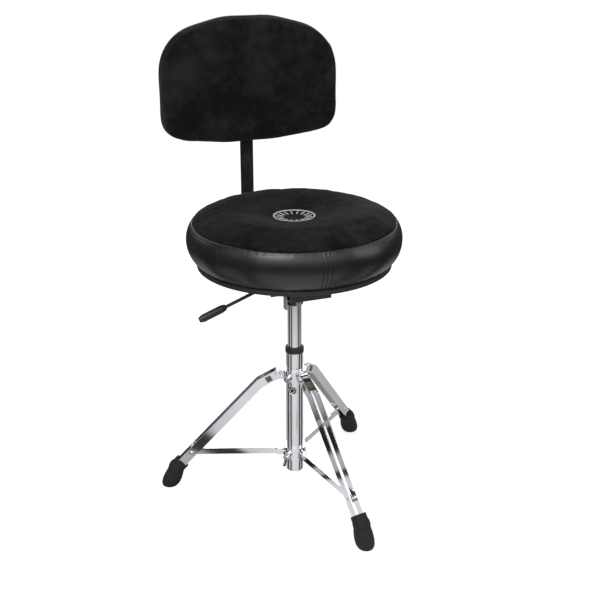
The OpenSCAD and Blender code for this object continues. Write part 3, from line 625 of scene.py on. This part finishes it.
# ---------------------------------------------------------------------------------------------------
# Sewing: one row of black topstitching in the vinyl under the velour, one on each side of the band's
# join, and a plain ring of silver embroidery with short strokes in the middle of the dish.
# ---------------------------------------------------------------------------------------------------
def sewing_tree():
    group = bpy.data.node_groups.new("sewing", "GeometryNodeTree")
    group.interface.new_socket("Path", in_out="INPUT", socket_type="NodeSocketGeometry")
    group.interface.new_socket("Stitch Pitch", in_out="INPUT", socket_type="NodeSocketFloat")
    group.interface.new_socket("Stitch Length", in_out="INPUT", socket_type="NodeSocketFloat")
    group.interface.new_socket("Thread Width", in_out="INPUT", socket_type="NodeSocketFloat")
    group.interface.new_socket("Thread", in_out="INPUT", socket_type="NodeSocketMaterial")
    group.interface.new_socket("Stitches", in_out="OUTPUT", socket_type="NodeSocketGeometry")
    sew = Finish("sewing", tree=group)
    given = group.nodes.new("NodeGroupInput")
    path, pitch, length, width, material = [Field(sew, given.outputs[i]) for i in range(5)]
    line = sew.node("GeometryNodeMeshToCurve", {"Mesh": path})
    spaced = sew.node("GeometryNodeResampleCurve", {"Curve": line, "Length": pitch}, mode="LENGTH")
    ball = sew.node("GeometryNodeMeshIcoSphere", {"Radius": 0.5, "Subdivisions": 2})
    size = sew.node("ShaderNodeCombineXYZ", {0: width, 1: width, 2: length})
    stitch = sew.node("GeometryNodeTransform", {"Geometry": ball, "Scale": size})
    heading = sew.node("FunctionNodeAlignRotationToVector", {"Vector": sew.node("GeometryNodeInputTangent")},
                       axis="Z")
    placed = sew.node("GeometryNodeInstanceOnPoints", {"Points": spaced, "Instance": stitch, "Rotation": heading})
    real = sew.node("GeometryNodeRealizeInstances", {0: placed})
    smooth = sew.node("GeometryNodeSetShadeSmooth", {0: real})
    painted = sew.node("GeometryNodeSetMaterial", {"Geometry": smooth, "Material": material})
    end = group.nodes.new("NodeGroupOutput")
    group.links.new(painted.socket, end.inputs[0])
    return group


sewing = sewing_tree()


def sewn(name, paths, pitch, length, width, finish, body):
    points, edges = [], []
    for path, closed_round in paths:
        first = len(points)
        points.extend(path)
        edges.extend((first + i, first + i + 1) for i in range(len(path) - 1))
        if closed_round:
            edges.append((first + len(path) - 1, first))
    mesh = bpy.data.meshes.new(name + "_path")
    mesh.from_pydata([tuple(p) for p in points], edges, [])
    trial = bpy.data.objects.new(name + "_path", mesh)
    bpy.context.scene.collection.objects.link(trial)
    stitches = trial.modifiers.new("stitches", "NODES")
    stitches.node_group = sewing
    inputs = [item for item in sewing.interface.items_tree if item.in_out == "INPUT"]
    for item, value in zip(inputs[1:], (pitch, length, width, finish)):
        stitches[item.identifier] = value
    result = bpy.data.meshes.new_from_object(trial.evaluated_get(bpy.context.evaluated_depsgraph_get()))
    bpy.data.objects.remove(trial)
    made = as_object(name, result, finish, smooth=0)
    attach(made, body)
    return made


def on_roll(turn, distance, lift=0.0002):
    radius, height = roll_outline(SEAM - distance / ROLL)
    point = seat_cover(turn, radius, height)
    centre = seat_point(turn, roll_centre, seat_crown - ROLL)
    return point + (point - centre).normalized() * lift


topstitching = [([on_roll(turn, 0.0062) for turn in turns], True)]
rim_length = (SEAM - TUCK) * ROLL
for line in (-0.0078, 0.0078):
    topstitching.append(([on_roll(JOIN + line / SEAT_RADIUS, 0.002 + (rim_length - 0.006) * i / 30)
                          for i in range(31)], False))
rim_stitches = sewn("seat_rim_stitches", topstitching, 0.0040, 0.0033, 0.00075, thread, "lift")

silver_thread = Finish("silver_thread", Specular_IOR_Level=0.5)
strand = silver_thread.clouds(1800, detail=2)
silver_thread = silver_thread.lay(
    Base_Color=silver_thread.blend(strand, (0.62, 0.62, 0.61), (0.34, 0.34, 0.335)),
    Roughness=0.42 + strand * 0.2,
    Normal=silver_thread.relief(strand, 0.0001, 0.5))


def in_dish(turn, radius):
    return seat_cover(turn, *dish_outline(radius)) + Vector((0, 0, 0.0002))


embroidery = [([in_dish(2 * pi * k / 90, radius) for k in range(90)], True)
              for radius in (0.0341, 0.0352, 0.0363)]
for stroke in range(16):
    middle = 2 * pi * (stroke + 0.5) / 16
    for aside in (-0.0008, 0.0008):
        embroidery.append(([in_dish(middle + aside / 0.025, 0.0205 + 0.0095 * i / 6) for i in range(7)], False))
sewn("seat_ring_embroidery", embroidery, 0.0019, 0.0030, 0.0013, silver_thread, "lift")


# ---------------------------------------------------------------------------------------------------
# Back pad: foam on a board behind one piece of velour, which is drawn round the edge and tucked under
# the moulded rear cover. Its face is hollow across, and its top corners are rounder than the lower.
# ---------------------------------------------------------------------------------------------------
pad_low, pad_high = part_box("back_front_cover")
pad_middle = (pad_low + pad_high) / 2
PAD_HALF = (pad_high.x - pad_low.x) / 2
PAD_RISE = (pad_high.z - pad_low.z) / 2
PAD_CURVE = 1.1
PAD_EDGE = 0.019
PAD_SLACK = -0.0008


def pad_rim(count=320):
    """The pad's outline and its outward directions, evenly spaced, in the plane of its face."""
    seen = [(v.co.x - pad_middle.x, v.co.z - pad_middle.z) for v in frame["nodes"]["back_front_cover"].data.vertices]
    ring = np.array([seen[i] for i in convex_hull_2d(seen)])
    looped = np.vstack([ring, ring[:1]])
    along = np.concatenate([[0], np.cumsum(np.linalg.norm(np.diff(looped, axis=0), axis=1))])
    wanted = np.linspace(0, along[-1], count, endpoint=False)
    ring = np.interp(wanted, along, looped[:, 0]) + 1j * np.interp(wanted, along, looped[:, 1])
    waves = np.fft.fft(ring) * np.exp(-(np.abs(np.fft.fftfreq(count, 1 / count)) / 17) ** 4)
    ring = np.fft.ifft(waves)
    ring = np.stack([ring.real, ring.imag], axis=1)
    run = np.roll(ring, -2, 0) - np.roll(ring, 2, 0)
    outward = np.stack([run[:, 1], -run[:, 0]], axis=1)
    outward /= np.linalg.norm(outward, axis=1)[:, None]
    return ring, outward * np.sign((outward * ring).sum(1))[:, None]


rim_points, rim_outward = pad_rim()


def pad_outline(inset):
    return rim_points - rim_outward * inset


def pad_face(x):
    return pad_low.y + (PAD_CURVE - math.sqrt(PAD_CURVE ** 2 - PAD_HALF ** 2)) - (
        PAD_CURVE - math.sqrt(PAD_CURVE ** 2 - x * x))


def pad_row(ring, depth):
    return [Vector((pad_middle.x + x, pad_face(x) + PAD_SLACK + depth if depth is not None else pad_high.y,
                    pad_middle.z + z)) for x, z in ring]


pad_rows = [pad_row(pad_outline(0.006 + PAD_SLACK), None)]
pad_rows.append(pad_row(pad_outline(PAD_SLACK), None))
edge_ring = pad_outline(PAD_SLACK)
for step in range(1, 9):
    share = step / 9
    pad_rows.append([Vector((p.x, q.y + (p.y - q.y) * share, p.z)) for q, p in zip(
        pad_rows[1], pad_row(edge_ring, PAD_EDGE))])
for step in range(8):
    bend = pi / 2 * step / 8
    pad_rows.append(pad_row(pad_outline(PAD_SLACK + PAD_EDGE * (1 - cos(bend))), PAD_EDGE * (1 - sin(bend))))
inner_ring = pad_outline(PAD_SLACK + PAD_EDGE)
for step in range(44):
    pad_rows.append(pad_row(inner_ring * (1 - step / 44), 0.0))
pad_rows.append(pad_row([(0, 0)], 0.0))


def held_by_board(point):
    return 1.0 if point[1] > pad_high.y - 0.014 else 0.0


pad_closed = [pad_row([(0, 0)], None)] + pad_rows
pad_shift = inflated(grid_mesh("pad_form", pad_closed), 0.005, held_by_board, 0.0026)


def pad_cover(point):
    face = min(1.0, max(0.0, (pad_high.y - 0.006 - point.y) / 0.01))
    ripple = 0.0010 * noise.noise(point * 18) + 0.0004 * noise.noise(point * 60)
    return point + pad_shift(point) + Vector((0, -ripple * face, 0))


pad_rows = [[pad_cover(point) for point in row] for row in pad_rows]
back_velour = covered("back_velour", grid_mesh("back_velour", pad_rows), velour)
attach(back_velour, "back_pad")
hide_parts("back_front_cover", "back_foam")

# ---------------------------------------------------------------------------------------------------
# Badge: a thin enamelled disc with a chromed rim, bent to the tube and glued on below the leg collar.
# ---------------------------------------------------------------------------------------------------
enamel = moulded("badge_enamel", 0.010, 0.020, 0.2)
tube_radius = (tube_high.x - tube_low.x) / 2
BADGE_TURN = radians(-127)
BADGE_HEIGHT = 0.205


def badge(name, section, finish):
    rows = []
    for radius, lift in section:
        row = []
        for k in range(64 if radius else 1):
            aside, rise = radius * cos(2 * pi * k / 64), radius * sin(2 * pi * k / 64)
            turn = BADGE_TURN + aside / tube_radius
            row.append(Vector((axis_x + (tube_radius + lift) * cos(turn), axis_y + (tube_radius + lift) * sin(turn),
                               BADGE_HEIGHT + rise)))
        rows.append(row)
    made = as_object(name, grid_mesh(name, rows), finish, smooth=50)
    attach(made, "stand")
    return made


badge_face = badge("badge_face", [(0, 0.0004), (0.002, 0.0004), (0.004, 0.0004), (0.0062, 0.0004),
                                  (0.0072, 0.0003), (0.0073, -0.0002), (0, -0.0002)], enamel)
badge_rim = badge("badge_rim", [(0.0068, -0.0002), (0.0068, 0.0006), (0.0071, 0.0009), (0.0077, 0.0010),
                                (0.0083, 0.0009), (0.0086, 0.0005), (0.0086, -0.0002), (0.0068, -0.0002)], chrome)
badge_ring = badge("badge_ring", [(0.0034, 0.0002), (0.0034, 0.0007), (0.0038, 0.0009), (0.0044, 0.0009),
                                  (0.0048, 0.0007), (0.0048, 0.0002), (0.0034, 0.0002)], silver_thread)
